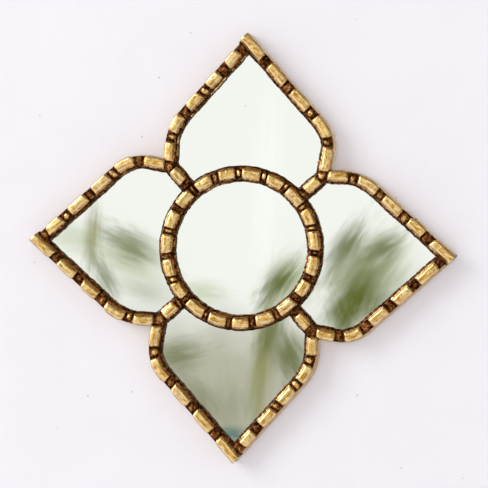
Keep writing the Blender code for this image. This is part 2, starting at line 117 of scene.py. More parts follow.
# Unevenness of the hand work
NOTCH_SHIFT = 0.0006
NOTCH_STRETCH = 0.12
NOTCH_SKEW = 0.14
GROOVE_SPREAD = 0.1
PAD_LEVEL = 0.00025
PAD_TILT = 0.07
PAD_PITCH = 0.4  # of the tilt across a rail, what a pad tilts along it
RAIL_SWAY = 0.00022
RAIL_SWAY_LENGTH = 0.0150
LIP_RAGGED = 0.00030  # how uneven a lip's edge over the glass is
LIP_RAGGED_LENGTH = 0.0016
LIP_RAGGED_POWER = 4  # how closely the unevenness keeps to that edge
TOOL_MARKS = ((0.00020, 0.0050), (0.00008, 0.0020), (0.00002, 0.0008))  # height and length
CUT_ROUGHNESS = 2.6  # how much rougher the notches are than the pads
KNOB_MARKS = ((0.00045, 0.0030), (0.00025, 0.0012))
KNOB_SWELL = 1.5  # how far the marks move a knob's sides, of how far they move its top
RING_SEED = 3
NECK_SEED = 20
WIDE_SEED = 30
NARROW_SEED = 40
KNOB_SEED = 50

# Finish of the rails. A pair is how far down a change begins and how far it runs
FLANK_BEGINS = (0.0002, 0.0006)
WASH_BEGINS = (0.0004, 0.0009)
TAN_BEGINS = (BEVEL_DROP * 0.3, 0.0016)
OUTER_FADE = (BEVEL_DROP * 0.5, 0.0010)
INNER_FADE = (BEVEL_DROP * 0.5, 0.0024)
OUTER_LOSS = 0.30  # of the leaf, what is gone low on an outer flank
INNER_LOSS = 0.80
WASH_LOSS = 0.84  # of the leaf, what the wash in a cut hides
WASH_RUBBED = 0.8  # of the wash, what is rubbed off a flank
TONE_SPREAD = 0.16  # by which the leaf differs from pad to pad
BEAD_LEAF = (0.04, 0.30)  # least and most leaf on a bead
EDGE_LINE = 0.00028  # width of the pale line along a pad's edges, a painted highlight
EDGE_HIGHLIGHT = 0.7
END_LINE = 0.0004
END_HIGHLIGHT = 0.5  # of the painted highlight along the edges, the share on a pad's ends
LIP_GILT = 0.45  # what wear adds to a lip's leaf
# what wear adds to a lip's painted highlight
LIP_SHINE = 0.1
WALL_GILT = 0.74  # leaf on an arm's outer wall
BACK_EDGE_GILT = 0.35
KNOB_GILT = (0.06, 0.36)  # leaf low on a knob, and what its top has more
KNOB_RISE = (0.30, 0.50)  # of the crown's height, where that begins and how far it runs
MARKS = ("gilt", "worn", "tan", "bare")

# Colours, from dark to pale where there are two
WASH = ((0.009, 0.0022, 0.0003), (0.100, 0.034, 0.003))
WASH_METAL = 0.5  # how metallic the dark wash over the gold looks
BOLE = ((0.125, 0.034, 0.005), (0.370, 0.138, 0.036))
DEEP_GOLD = ((0.36, 0.155, 0.010), (0.90, 0.510, 0.120))
BRIGHT_GOLD = (1.0, 0.740, 0.320)
# painted highlight, in patches where the leaf lies thickest
HIGHLIGHT_GOLD = (1.0, 0.840, 0.540)
# painted highlight along pads' edges and ends, and along lips
EDGE_HIGHLIGHT_GOLD = (1.0, 0.840, 0.570)
TAN = ((0.50, 0.29, 0.115), (0.78, 0.55, 0.28))
BARE_WOOD = ((0.16, 0.085, 0.040), (0.36, 0.22, 0.11))
SILVER = (0.945, 0.957, 0.935)
SILVER_SPECK = (0.42, 0.42, 0.38)
BOARD = ((0.130, 0.060, 0.025), (0.370, 0.205, 0.098))
BOARD_CLOUD = (0.150, 0.072, 0.032)
PLATING = (0.78, 0.62, 0.34)
RUBBED_PLATING = (0.66, 0.62, 0.55)
WALL_PAINT = ((0.935, 0.920, 0.946), (0.957, 0.943, 0.967))
WALL_SPECK = (0.30, 0.28, 0.28)
FLOOR_PAINT = ((0.86, 0.85, 0.86), (0.90, 0.89, 0.90))

# Glass and hanger
PANES = ("round", "top", "right", "bottom", "left")
GLASS_INDEX = 1.52
STRAP_WIDTH = 0.0080
STRAP_GAUGE = 0.0006
STRAP_CORNER = 0.0030
BARREL_TURN = radians(300)
WIRE_RADIUS = 0.00075
WIRE_CLEARANCE = 0.0001
HANGER_RING_WIDTH = 0.0120
HANGER_RING_LEG = 0.0040
HANGER_RING_BEND = 0.0014
SCREW_HEAD_RADIUS = 0.0022
SCREW_SHANK_RADIUS = 0.0010
SCREW_RIM = 0.0004
SCREW_DOME_HEIGHT = 0.0007
SCREW_SLOT_WIDTH = 0.0006
SCREW_SLOT_DEPTH = 0.0006
SLOT_TURNS = {"upper": 0.5, "lower": -0.9}  # radians

# Stage and light
STAGE_REACH = 3.0
FLOOR_DROP = 0.75
WALL_GAP = 0.0005
WALL_GLOW = (0.950, 0.932, 0.960)
WALL_GLOW_SHARE = 0.20  # of the wall's look, what no shadow darkens
FLOOR_GLOW_SHARE = 0.65
LAMPS = (
    # name, place from the centre of the flower, size, power
    ("window", Vector((-2.8, -2.8, 1.5)), 2.2, 60.0),
    ("fill", Vector((2.2, -2.4, -2.0)), 2.0, 45.0),
)
DAYLIGHT = (0.735, 0.721, 0.755)
BACKDROP = (0.90, 0.89, 0.91)

# Soft surroundings that show in what shines. A pair is where a tone begins and where it is full
SIGHT_SIDE = 0.139  # how far to the left the glass looks
SIGHT_SCALE = 26.85  # from a way out to hundreds of pixels from the flower's centre
PALE_TONE = (0.948, 0.963, 0.923)
DARK_TONE = (0.215, 0.150, 0.065)
DARK_ABOVE = (0.20, 0.56)
DARK_RIGHT = (0.30, 0.86)
BRIGHT_TONE = (1.12, 1.09, 1.02)
BRIGHT_LEFT = (-0.24, -0.62)
LOW_TONE = (0.50, 0.49, 0.39)
LOW_EDGE = (-0.05, -0.95)  # in hundreds of pixels up
LOW_CLOUDS = 0.7  # how uneven that edge is
LEAF = (0.105, 0.130, 0.012)
DULL_LEAF = (0.180, 0.200, 0.085)
PALE_LEAF = (0.270, 0.275, 0.085)
COOL_LEAF = (0.120, 0.220, 0.190)
MIST = (0.470, 0.540, 0.310)
WHITE = (1.020, 1.020, 1.000)
BLADE_STRETCH = (1.2, 3.6, 1)  # how fine the blades of a tuft are along and across it
BLADE_REACH = 1.5  # how far they make its outline uneven
TUFT_EDGE = (1.2, 0.0)  # of its half length and width
SOFT_SHAPES = (
    # place across and up, half its length and width, lean in degrees, share, colour
    (0.20, 0.60, 1.40, 0.20, 90, 0.70, WHITE),
    (1.24, -0.28, 0.72, 0.50, 55, 0.80, MIST),
    (0.44, -0.36, 0.46, 0.28, 60, 0.75, MIST),
    (-0.40, -0.50, 0.36, 0.16, 0, 0.55, MIST),
    (-1.15, -0.20, 0.60, 0.36, -20, 0.65, MIST),
    (-1.72, 0.00, 0.30, 0.20, 0, 0.50, MIST),
    (1.20, -0.30, 0.60, 0.38, 52, 0.68, DULL_LEAF),
    (1.12, -0.50, 0.46, 0.22, 68, 0.92, LEAF),
    (1.00, 0.00, 0.44, 0.17, 62, 0.85, LEAF),
    (1.36, 0.00, 0.34, 0.16, 35, 0.90, DULL_LEAF),
    (1.32, -0.58, 0.36, 0.24, 20, 0.64, LEAF),
    (1.00, -0.70, 0.30, 0.17, 112, 0.80, LEAF),
    (0.35, -0.38, 0.40, 0.16, 56, 0.92, LEAF),
    (-1.12, -0.06, 0.44, 0.20, -24, 0.70, LEAF),
    (-1.50, 0.02, 0.46, 0.11, 88, 0.75, PALE_LEAF),
    (-1.36, -0.38, 0.36, 0.11, -58, 0.75, DULL_LEAF),
    (-0.92, -0.52, 0.36, 0.14, -8, 0.35, DULL_LEAF),
    (0.22, -1.20, 0.90, 0.14, 87, 0.85, PALE_LEAF),
    (0.30, -0.84, 0.36, 0.16, 75, 0.80, LEAF),
    (-0.64, -1.14, 0.38, 0.22, 15, 0.78, DULL_LEAF),
    (-0.38, -1.52, 0.36, 0.15, -45, 0.55, DULL_LEAF),
    (0.49, -1.10, 0.42, 0.21, 118, 0.82, LEAF),
    (-0.10, -1.66, 0.40, 0.30, 95, 0.35, DULL_LEAF),
    (-0.04, -1.90, 0.24, 0.10, 0, 0.95, COOL_LEAF),
)

# Fineness of the meshes
STATION_STEP = 0.0004
ROUND_STEPS = 40
WIRE_STEPS = 16
BEND_STEPS = 8
DOME_STEPS = 9

PETALS = ("top", "right", "bottom", "left")
WIDE_SIDES = ("right", "lower", "left", "upper")
NARROW_SIDES = ("left", "upper", "right", "lower")
NECKS = ("upper_right", "lower_right", "lower_left", "upper_left")

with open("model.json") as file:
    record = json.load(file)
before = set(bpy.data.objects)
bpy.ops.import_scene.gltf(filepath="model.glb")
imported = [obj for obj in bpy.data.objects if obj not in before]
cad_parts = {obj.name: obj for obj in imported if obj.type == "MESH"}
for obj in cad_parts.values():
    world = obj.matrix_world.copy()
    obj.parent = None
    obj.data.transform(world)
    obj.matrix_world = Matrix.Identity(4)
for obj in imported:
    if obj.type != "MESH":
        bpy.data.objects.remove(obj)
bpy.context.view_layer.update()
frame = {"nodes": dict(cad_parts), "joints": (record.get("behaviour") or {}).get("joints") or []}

# Places that the frame gives
PANEL_LOW, PANEL_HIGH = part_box("back_panel")
CENTRE = (PANEL_LOW + PANEL_HIGH) / 2
GLASS_FRONT = -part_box("round_pane")[0].y
GLASS_BACK = -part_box("round_pane")[1].y
FRAME_DEPTH = -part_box("ring_rail")[0].y
LIP_BACK = GLASS_FRONT + BEDDING_GAP
CROWN_BASE = LIP_BACK + LIP_EDGE
CROWN_HEIGHT = FRAME_DEPTH - CROWN_BASE
HALF_RAIL = RAIL_WIDTH / 2
WALL_FACE = HALF_RAIL - OUTER_WALL
HINGE = Vector(frame["joints"][0]["pos_m"])


def smooth(value):
    """0 below 0, 1 above 1, and a smooth rise between."""
    value = np.clip(value, 0, 1)
    return value * value * (3 - 2 * value)


def risen(value, start, run):
    """0 up to a start, 1 past its run, and a smooth rise between."""
    return smooth((value - start) / run)


def soft_min(first, second, blend):
    """The lesser of two heights, rounded where they cross."""
    overlap = np.clip(blend - np.abs(first - second), 0, None) / blend
    return np.minimum(first, second) - overlap**2 * blend / 4


def turned(point, quarters):
    """A point in the top petal's plan, turned clockwise by quarter turns."""
    for _ in range(quarters % len(PETALS)):
        point = Vector((point.y, -point.x))
    return point


def add_object(name, data):
    made = bpy.data.objects.new(name, data)
    bpy.context.scene.collection.objects.link(made)
    return made


def aim(made, place, turn):
    """Puts a camera or a lamp in its place."""
    made.location = place
    made.rotation_mode = "QUATERNION"
    made.rotation_quaternion = turn


# Camera


def add_camera():
    back = Vector((sin(VIEW_AZIMUTH), -cos(VIEW_AZIMUTH), 0))
    turn = (-back).to_track_quat("-Z", "Y") @ Quaternion((0, 0, 1), VIEW_ROLL)
    right = turn @ Vector((1, 0, 0))
    up = turn @ Vector((0, 1, 0))
    middle = PICTURE_WIDTH / 2
    across = (middle - CENTRE_PIXEL[0]) * PIXEL
    above = (CENTRE_PIXEL[1] - middle) * PIXEL
    data = bpy.data.cameras.new("camera")
    data.lens = data.sensor_width * VIEW_DISTANCE / (PICTURE_WIDTH * PIXEL)
    data.clip_start = 0.01
    camera = add_object("camera", data)
    aim(camera, CENTRE + back * VIEW_DISTANCE + right * across + up * above, turn)
    bpy.context.scene.camera = camera


# Node graphs


class Graph:
    """Short forms for building one node tree."""

    def __init__(self, tree):
        self.tree = tree

    def add(self, kind, sockets=None, **settings):
        made = self.tree.nodes.new(kind)
        for name, value in settings.items():
            setattr(made, name, value)
        for name, value in (sockets or {}).items():
            self.put(made.inputs[name], value)
        return made

    def put(self, socket, value):
        """Links a node's output to a socket, or sets the socket to a plain value."""
        if isinstance(value, bpy.types.NodeSocket):
            self.tree.links.new(value, socket)
        elif socket.type == "RGBA":
            socket.default_value = (*value, 1)
        else:
            socket.default_value = value

    def math(self, operation, *values):
        made = self.add("ShaderNodeMath", operation=operation)
        for socket, value in zip(made.inputs, values):
            self.put(socket, value)
        return made.outputs[0]

    def ramp(self, value, low, high, start=0.0, end=1.0):
        """Runs smoothly from start to end while the value goes from low to high."""
        sockets = {"Value": value, "From Min": low, "From Max": high, "To Min": start, "To Max": end}
        return self.add("ShaderNodeMapRange", sockets, interpolation_type="SMOOTHSTEP").outputs[0]

    def mix(self, share, first, second):
        made = self.add("ShaderNodeMix", data_type="RGBA")
        self.put(made.inputs[0], share)
        self.put(made.inputs[6], first)
        self.put(made.inputs[7], second)
        return made.outputs[2]

    def noise(self, vector, scale, detail=3.0, roughness=0.55, distortion=0.0):
        names = ("Vector", "Scale", "Detail", "Roughness", "Distortion")
        sockets = dict(zip(names, (vector, scale, detail, roughness, distortion)))
        return self.add("ShaderNodeTexNoise", sockets).outputs[0]

    def specks(self, vector, scale, radius, clean=0.86):
        """1 in a small speck at some points of a scattered grid, and 0 elsewhere and at the clean share."""
        cells = self.add("ShaderNodeTexVoronoi", {"Vector": vector, "Scale": scale})
        chosen = self.math("GREATER_THAN", self.split(cells.outputs["Color"])[0], clean)
        return self.math("MULTIPLY", chosen, self.ramp(cells.outputs["Distance"], radius, radius / 3))

    def split(self, vector):
        return self.add("ShaderNodeSeparateXYZ", {0: vector}).outputs

    def attribute(self, name, output="Fac"):
        return self.add("ShaderNodeAttribute", attribute_name=name).outputs[output]

    def place(self):
        return self.add("ShaderNodeTexCoord").outputs["Object"]

    def stretched(self, vector, scale):
        return self.add("ShaderNodeMapping", {"Vector": vector, "Scale": scale}).outputs[0]

    def bump(self, height, strength, distance):
        sockets = {"Height": height, "Strength": strength, "Distance": distance}
        return self.add("ShaderNodeBump", sockets).outputs[0]

    def weighted(self, first, second, share):
        """A mean of two values, with that share of the first."""
        return self.math("MULTIPLY_ADD", first, share, self.math("MULTIPLY", second, 1 - share))

    def light_path(self, name):
        return self.add("ShaderNodeLightPath").outputs[name]

    def finish(self, **values):
        """Sets or links the sockets of a material's main shader."""
        shader = self.tree.nodes["Principled BSDF"]
        for name, value in values.items():
            self.put(shader.inputs[name.replace("_", " ").title().replace("Ior", "IOR")], value)
        return shader.outputs[0]

    def surface(self, look):
        self.put(self.tree.nodes["Material Output"].inputs["Surface"], look)


def new_material(name):
    made = bpy.data.materials.new(name)
    made.use_nodes = True
    return made, Graph(made.node_tree)


# Materials


def gilded_wood():
    """Gold leaf on the pads, rubbed through to red bole on the beads, a dark wash in the cuts, and painted
    highlights.
    """
    made, graph = new_material("gilded_wood")
    place = graph.place()
    along = graph.attribute("along", "Vector")
    mottle = graph.noise(place, 520, 5, 0.62)
    fleck = graph.noise(place, 1500, 4, 0.6)
    streak = graph.noise(graph.stretched(along, (170, 1500, 600)), 1, 4, 0.6)
    patch = graph.noise(graph.stretched(along, (230, 520, 1)), 1, 2, 0.5)
    grain = graph.noise(graph.stretched(along, (90, 900, 900)), 1, 4, 0.6)
    uneven = graph.weighted(mottle, fleck, 0.55)
    cloud = graph.weighted(patch, mottle, 0.7)
    spread = graph.math("MULTIPLY_ADD", graph.math("SUBTRACT", uneven, 0.5), 1.9, graph.attribute("gilt"))
    leaf = graph.ramp(spread, 0.42, 0.66)
    bole = graph.ramp(spread, 0.08, 0.46)
    on_wall = graph.attribute("tan")
    bare = graph.attribute("bare")

    wash = graph.mix(graph.ramp(fleck, 0.48, 0.74), *WASH)
    red = graph.mix(graph.ramp(mottle, 0.35, 0.65), *BOLE)
    ground = graph.mix(bole, wash, red)
    deep = graph.mix(graph.ramp(streak, 0.36, 0.60), *DEEP_GOLD)
    bright = graph.mix(graph.ramp(cloud, 0.41, 0.60), deep, BRIGHT_GOLD)
    # painted highlights: pale gold over the thickest leaf, and along the edges marked for it
    highlit = graph.mix(graph.ramp(spread, 1.10, 1.36), bright, HIGHLIGHT_GOLD)
    worn = graph.mix(graph.attribute("worn"), highlit, EDGE_HIGHLIGHT_GOLD)
    buff = graph.mix(graph.ramp(streak, 0.35, 0.70), *TAN)
    gold = graph.mix(on_wall, worn, buff)
    faced = graph.mix(leaf, ground, gold)
    wood = graph.mix(grain, *BARE_WOOD)

    metal = graph.math("MULTIPLY_ADD", on_wall, -0.75, 0.95)
    gloss = graph.math("MULTIPLY_ADD", leaf, graph.math("SUBTRACT", metal, WASH_METAL), WASH_METAL)
    matt = graph.ramp(uneven, 0.3, 0.7, 0.60, 0.44)
    rise = graph.math("MULTIPLY_ADD", fleck, 0.22, graph.math("MULTIPLY", mottle, 0.36))
    height = graph.math("MULTIPLY_ADD", streak, 0.40, rise)
    graph.finish(
        base_color=graph.mix(bare, faced, wood),
        metallic=graph.math("MULTIPLY", gloss, graph.math("SUBTRACT", 1.0, bare)),
        roughness=graph.math("MULTIPLY_ADD", leaf, -0.30, matt),
        normal=graph.bump(height, graph.ramp(leaf, 0, 1, 1.0, 0.6), 0.00030),
        specular_ior_level=0.03,
    )
    return made


def mirror_glass():
    """Silvered glass with a faint green cast, a few specks and a trace of dust."""
    made, graph = new_material("mirror_glass")
    place = graph.place()
    speck = graph.specks(place, 90, 0.045)
    haze = graph.noise(place, 30, 4)
    graph.finish(
        base_color=graph.mix(speck, SILVER, SILVER_SPECK),
        metallic=1.0,
        roughness=graph.math("MULTIPLY_ADD", speck, 0.3, graph.ramp(haze, 0.4, 0.8, 0.008, 0.030)),
    )
    return made


def hardboard():
    """Brown pressed board, with loose fibres and the print of the pressing screen."""
    made, graph = new_material("hardboard")
    place = graph.place()
    fibre = graph.noise(graph.stretched(place, (900, 900, 2600)), 1, 6, 0.7, 1.5)
    cloud = graph.noise(place, 42, 7, 0.68)
    across, _, up = graph.split(graph.stretched(place, (4200, 4200, 4200)))
    screen = graph.math("MULTIPLY", graph.math("SINE", across), graph.math("SINE", up))
    brown = graph.mix(graph.ramp(fibre, 0.3, 0.7), *BOARD)
    height = graph.math("MULTIPLY_ADD", screen, 0.35, fibre)
    graph.finish(
        base_color=graph.mix(graph.ramp(cloud, 0.40, 0.66, 0.0, 0.75), brown, BOARD_CLOUD),
        roughness=graph.ramp(fibre, 0.3, 0.7, 0.85, 0.68),
        normal=graph.bump(height, 0.35, 0.0002),
    )
    return made


def plated_steel():
    """Thin brass plating, with rubbed places and small scratches."""
    made, graph = new_material("plated_steel")
    place = graph.place()
    patch = graph.noise(place, 380, 4)
    scratch = graph.noise(graph.stretched(place, (600, 2400, 5200)), 1, 3, 0.7)
    graph.finish(
        base_color=graph.mix(graph.ramp(patch, 0.40, 0.70), PLATING, RUBBED_PLATING),
        metallic=1.0,
        roughness=graph.ramp(scratch, 0.3, 0.7, 0.24, 0.44),
        normal=graph.bump(scratch, 0.12, 0.00008),
    )
    return made


def glowing(graph, look, share):
    """A look of which that share glows evenly."""
    glow = graph.add("ShaderNodeEmission", {"Color": WALL_GLOW}).outputs[0]
    return graph.add("ShaderNodeMixShader", {0: share, 1: look, 2: glow}).outputs[0]


def painted_wall():
    """Pale wall paint that only the camera sees, and only from the front. Other light passes through."""
    made, graph = new_material("painted_wall")
    place = graph.place()
    trowel = graph.noise(place, 22, 6, 0.6)
    grit = graph.noise(place, 420, 4, 0.65)
    speck = graph.math("MULTIPLY", graph.specks(place, 110, 0.10), 0.6)
    paint = graph.mix(graph.ramp(trowel, 0.35, 0.65), *WALL_PAINT)
    look = graph.finish(
        base_color=graph.mix(speck, paint, WALL_SPECK),
        roughness=0.9,
        normal=graph.bump(graph.math("MULTIPLY_ADD", grit, 0.25, trowel), 0.25, 0.0012),
    )
    behind = graph.add("ShaderNodeNewGeometry").outputs["Backfacing"]
    seen = graph.math("SUBTRACT", graph.light_path("Is Camera Ray"), behind)
    clear = graph.add("ShaderNodeBsdfTransparent").outputs[0]
    sockets = {0: seen, 1: clear, 2: glowing(graph, look, WALL_GLOW_SHARE)}
    graph.surface(graph.add("ShaderNodeMixShader", sockets).outputs[0])
    return made


def pale_floor():
    """Pale boards that in the picture are as pale as the wall."""
    made, graph = new_material("pale_floor")
    cloud = graph.noise(graph.place(), 3, 4)
    look = graph.finish(base_color=graph.mix(cloud, *FLOOR_PAINT), roughness=0.85)
    share = graph.math("MULTIPLY", graph.light_path("Is Camera Ray"), FLOOR_GLOW_SHARE)
    graph.surface(glowing(graph, look, share))
    return made


# Pieces


def new_piece(name, mesh, node, material, body="frame"):
    """A piece that moves with its body and, where a CAD node is named, stands for it."""
    made = add_object(name, mesh)
    mesh.materials.clear()
    mesh.materials.append(material)
    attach(made, body)
    if node:
        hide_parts(node)


def mesh_of(name, points, faces, sharp):
    """Smooth closed mesh whose edges sharper than an angle stay crisp."""
    mesh = bpy.data.meshes.new(name)
    mesh.from_pydata(points, [], faces)
    bm = bmesh.new()
    bm.from_mesh(mesh)
    bmesh.ops.recalc_face_normals(bm, faces=bm.faces)
    bm.to_mesh(mesh)
    bm.free()
    mesh.shade_smooth()
    mesh.set_sharp_from_angle(angle=radians(sharp))
    return mesh


def grid_faces(rows, columns, closed):
    """Faces over rings of points, row by row, with a cap on each open end."""
    faces = []
    for row in range(rows if closed else rows - 1):
        near = row * columns
        far = (row + 1) % rows * columns
        for i in range(columns):
            j = (i + 1) % columns
            faces.append((near + i, near + j, far + j, far + i))
    if not closed:
        faces.append(tuple(range(columns)))
        faces.append(tuple(range((rows - 1) * columns, rows * columns)))
    return faces


def dome(radius, start, rise, steps):
    """Radius and Y of each step up a dome, without its top."""
    angles = [pi / 2 * i / steps for i in range(steps)]
    return [(radius * cos(angle), start + rise * sin(angle)) for angle in angles]


def revolved(profile, middle):
    """Rings of points round the line along Y through a middle, by radius and Y."""
    points = []
    for radius, y in profile:
        for i in range(ROUND_STEPS):
            turn = 2 * pi * i / ROUND_STEPS
            points.append((middle.x + radius * cos(turn), y, middle.z + radius * sin(turn)))
    return points


# Paths of the rails in plan


class Arm:
    """One arm of the top petal, from the tip round the shoulder to the junction."""

    def __init__(self, wide):
        self.side = 1 if wide else -1
        shoulder = WIDE_SHOULDER if wide else NARROW_SHOULDER
        self.radius = WIDE_RADIUS if wide else NARROW_RADIUS
        self.tip = Vector((0, TIP_REACH))
        self.end = JUNCTION if wide else turned(JUNCTION, -1)
        first_run = shoulder - self.tip
        last_run = Vector((abs(self.end.x), self.end.y)) - shoulder
        self.lean = atan2(first_run.x, -first_run.y)
        self.turn = self.lean - atan2(last_run.x, -last_run.y)
        tangent = self.radius * tan(self.turn / 2)
        self.arc_start = first_run.length - tangent
        self.arc_end = self.arc_start + self.radius * self.turn
        self.length = self.arc_end + last_run.length - tangent
        inward = Vector((-cos(self.lean), -sin(self.lean)))
        self.arc_centre = shoulder - first_run.normalized() * tangent + inward * self.radius

    def at(self, distance, across):
        """Places that far along from the tip and that far out from the centreline."""
        angle = self.lean - np.clip((distance - self.arc_start) / self.radius, 0, self.turn)
        out_x, out_z = np.cos(angle), np.sin(angle)
        straight = np.minimum(distance - self.arc_start, 0) + np.maximum(distance - self.arc_end, 0)
        x = self.arc_centre.x + out_x * (self.radius + across) + out_z * straight
        z = self.arc_centre.y + out_z * (self.radius + across) - out_x * straight
        return self.side * x, z

    def ways(self, at_tip):
        """The ways out from the centreline and onward to the junction, at one end."""
        angle = self.lean if at_tip else self.lean - self.turn
        out = Vector((self.side * cos(angle), sin(angle)))
        return out, Vector((out.y, -out.x)) * self.side

    def edge(self, offset):
        """The line along the arm at its tip, moved out by offset, as a point and the way across it."""
        out, _ = self.ways(at_tip=True)
        return self.tip + out * offset, out

    def meets(self, at_tip, across, line):
        """Distance at which lines that far out from the centreline meet a line in plan."""
        point, normal = line
        out, onward = self.ways(at_tip)
        start = self.tip if at_tip else self.end
        run = ((point - start).dot(normal) - across * out.dot(normal)) / onward.dot(normal)
        return run if at_tip else self.length + run


def ring_at(distance, across):
    """Places on the ring, that far round from its first notch."""
    angle = RING_NOTCH_ANGLE + distance / RING_RADIUS
    return (RING_RADIUS + across) * np.cos(angle), (RING_RADIUS + across) * np.sin(angle)


def neck_at(distance, across):
    """Places on the first neck, that far from the centre of the flower."""
    x = NECK_WAY.x * distance - NECK_WAY.y * across
    z = NECK_WAY.y * distance + NECK_WAY.x * across
    return x, z


NECK_WAY = Vector((cos(NECK_ANGLE), sin(NECK_ANGLE)))
JUNCTION = NECK_WAY * JUNCTION_REACH
WIDE_ARM = Arm(True)
NARROW_ARM = Arm(False)
TIP_ANGLE = WIDE_ARM.lean + NARROW_ARM.lean

# At a junction the wide arm of a petal and the narrow arm of the next one are mitred, and the
# neck ends where its edges meet the arms' inner edges
WIDE_AWAY = -WIDE_ARM.ways(at_tip=False)[1]
NARROW_AWAY = turned(-NARROW_ARM.ways(at_tip=False)[1], 1)
ACROSS_MITRE = (NARROW_AWAY - WIDE_AWAY).normalized()
ARM_TO_NECK = pi - WIDE_AWAY.angle(NARROW_AWAY) / 2
NECK_END = JUNCTION_REACH - HALF_RAIL / tan(ARM_TO_NECK / 2)


# Carving


class Carving:
    """Notches along a rail, each with a bead between two grooves, and the pads between them."""

    def __init__(self, node, centres, length, seed, free_end=None, loop=None, hollow=False):
        draw = np.random.default_rng(seed)
        self.free_end = free_end
        self.worn = WORN_RAILS.get(node, LITTLE_WORN)
        self.notches = []
        for centre in centres:
            shift, stretch, skew, sink, lift, lean = draw.uniform(-1, 1, 6)
            half = length / 2 * (1 + stretch * NOTCH_STRETCH)
            depth = GROOVE_DEPTH * (1 + GROOVE_SPREAD * sink)
            drop = BEAD_DROP + lift * BEAD_LIFT
            width = BEAD_ACROSS + draw.uniform(-1, 1) * BEAD_SPREAD
            bead = (drop, lean * BEAD_OFFSET, width, draw.uniform(*BEAD_LEAF))
            self.notches.append((centre + shift * NOTCH_SHIFT, half, skew * NOTCH_SKEW, depth, bead))
        if hollow:
            *notch, (_, *bead) = self.notches[0]
            self.notches[0] = (*notch, (BUTT_BEAD_DROP, *bead))
        pads = draw.uniform(-1, 1, (len(self.notches) + 1, 4))
        self.wear_starts = draw.uniform(0, 2 * pi, len(WEAR_LENGTHS))
        if loop:
            first = self.notches[0]
            last = self.notches[-1]
            self.notches.append((first[0] + loop, *first[1:]))
            self.notches.insert(0, (last[0] - loop, *last[1:]))
            pads = np.vstack([pads[-2], pads[-2], pads[:-2], pads[-2], pads[0]])
        self.pads = pads
        self.middles = np.array([notch[0] for notch in self.notches])

    def cut(self, distance, across):
        """Depth of the cut below the pads, how much a place is notch and bead, and its way to a pad's end."""
        lowered = np.zeros_like(distance)
        notch = np.zeros_like(distance)
        bead = np.zeros_like(distance)
        end = np.full_like(distance, 1.0)
        for centre, half, skew, depth, (drop, offset, width, gilt) in self.notches:
            away = np.abs(distance - centre - skew * across)
            corner = np.clip(np.abs(across) / PAD_CORNER_REACH, 0, PAD_CORNER_LIMIT) ** PAD_CORNER_POWER
            past = away - half - PAD_CORNER * corner
            shoulder = PAD_END_DROP * np.clip(1 - past / PAD_END_RUN, 0, 1) ** 2
            wall = PAD_END_DROP + (depth - PAD_END_DROP) * smooth(-past / GROOVE_RUN)
            bead_half = (half - GROOVE_RUN * GROOVE_CLEAR) * BEAD_SHARE
            round_off = (away / bead_half) ** BEAD_SQUARE + (np.abs(across - offset) / width) ** BEAD_SQUARE
            here_bead = np.sqrt(np.clip(1 - round_off, 0, 1))
            here = np.where(past > 0, shoulder, wall - here_bead * (depth - drop))
            lowered = np.maximum(lowered, here)
            notch = np.maximum(notch, smooth((WAIST_RUN - past) / (WAIST_RUN + GROOVE_RUN)))
            bead = np.maximum(bead, here_bead * gilt)
            end = np.minimum(end, np.abs(past))
        if self.free_end is not None:
            past = np.abs(distance - self.free_end)
            lowered = np.maximum(lowered, PAD_END_DROP * np.clip(1 - past / PAD_END_RUN, 0, 1) ** 2)
            end = np.minimum(end, past)
        return lowered, notch, bead, end

    def unevenness(self, distance, across):
        """How far each pad lies below its neighbours, from its level and its tilt."""
        index = np.searchsorted(self.middles, distance)
        level, roll, pitch, _ = self.pads[index].transpose(2, 0, 1)
        before = self.middles[0] - ARM_NOTCH
        after = self.middles[-1] + ARM_NOTCH
        middles = np.concatenate([[before], self.middles, [after]])
        centre = (middles[index] + middles[index + 1]) / 2
        tilted = roll * across + pitch * (distance - centre) * PAD_PITCH
        return PAD_LEVEL * (1 + level) / 2 + PAD_TILT * tilted

    def wear(self, distance):
        """How much wear a rail's inner edge shows, in stretches along it, with a painted highlight."""
        waves = zip(WEAR_LENGTHS, self.wear_starts)
        swell = sum(np.sin(2 * pi * distance / length + start) for length, start in waves)
        return self.worn * risen(swell, WEAR_LEVEL, WEAR_EASE)

    def tone(self, distance):
        """How thick the leaf lies on each pad, from -1 to 1."""
        return self.pads[np.searchsorted(self.middles, distance)][..., 3]


# Sections, as columns of points that run the length of a rail

TOP_STEPS = (0.14, 0.27, 0.38, 0.46, 0.52, 0.56)
PAD_SHARE = 0.58  # of the steps across half a crown, those that are on its top
FLANK_STEPS = (0.60, 0.64, 0.69, 0.75, 0.82, 0.89, 0.93, 1.0)
HALF_CROWN = (*TOP_STEPS, *FLANK_STEPS)
CROWN = np.array([*reversed(HALF_CROWN), 0.0, *(-step for step in HALF_CROWN)])
COPE_STEP = LIP_BACK - BEDDING_GAP
HAIR = 0.00001  # a distance that doesn't show

ARM_OUTSIDE = [
    (HALF_RAIL - WALL_BEVEL, 0.0),
    (HALF_RAIL, WALL_BEVEL),
    *((HALF_RAIL, COPE_STEP * share) for share in (0.2, 0.4, 0.6, 0.8)),
    (HALF_RAIL, COPE_STEP - HAIR),
    (HALF_RAIL, COPE_STEP + HAIR),
]
BACK_EDGE_COLUMNS = 2  # the first of these, round the worn back edge
ARM_INSIDE = [
    (-HALF_RAIL, CROWN_BASE - LIP_EDGE / 2),
    (-HALF_RAIL, LIP_BACK + LIP_LINE),
    (-HALF_RAIL, LIP_BACK),
    (WALL_FACE, LIP_BACK),
    (WALL_FACE, LIP_BACK / 2),
    (WALL_FACE, 0.0),
]


def spine(half):
    """The outside and the inside of a rail that has glass on both sides."""
    outside = [
        (SPINE_WIDTH / 2, GLASS_BACK),
        (SPINE_WIDTH / 2, LIP_BACK),
        (half, LIP_BACK),
        (half, LIP_BACK + LIP_LINE),
        (half, CROWN_BASE - LIP_EDGE / 2),
    ]
    return outside, [(-across, depth) for across, depth in reversed(outside)]


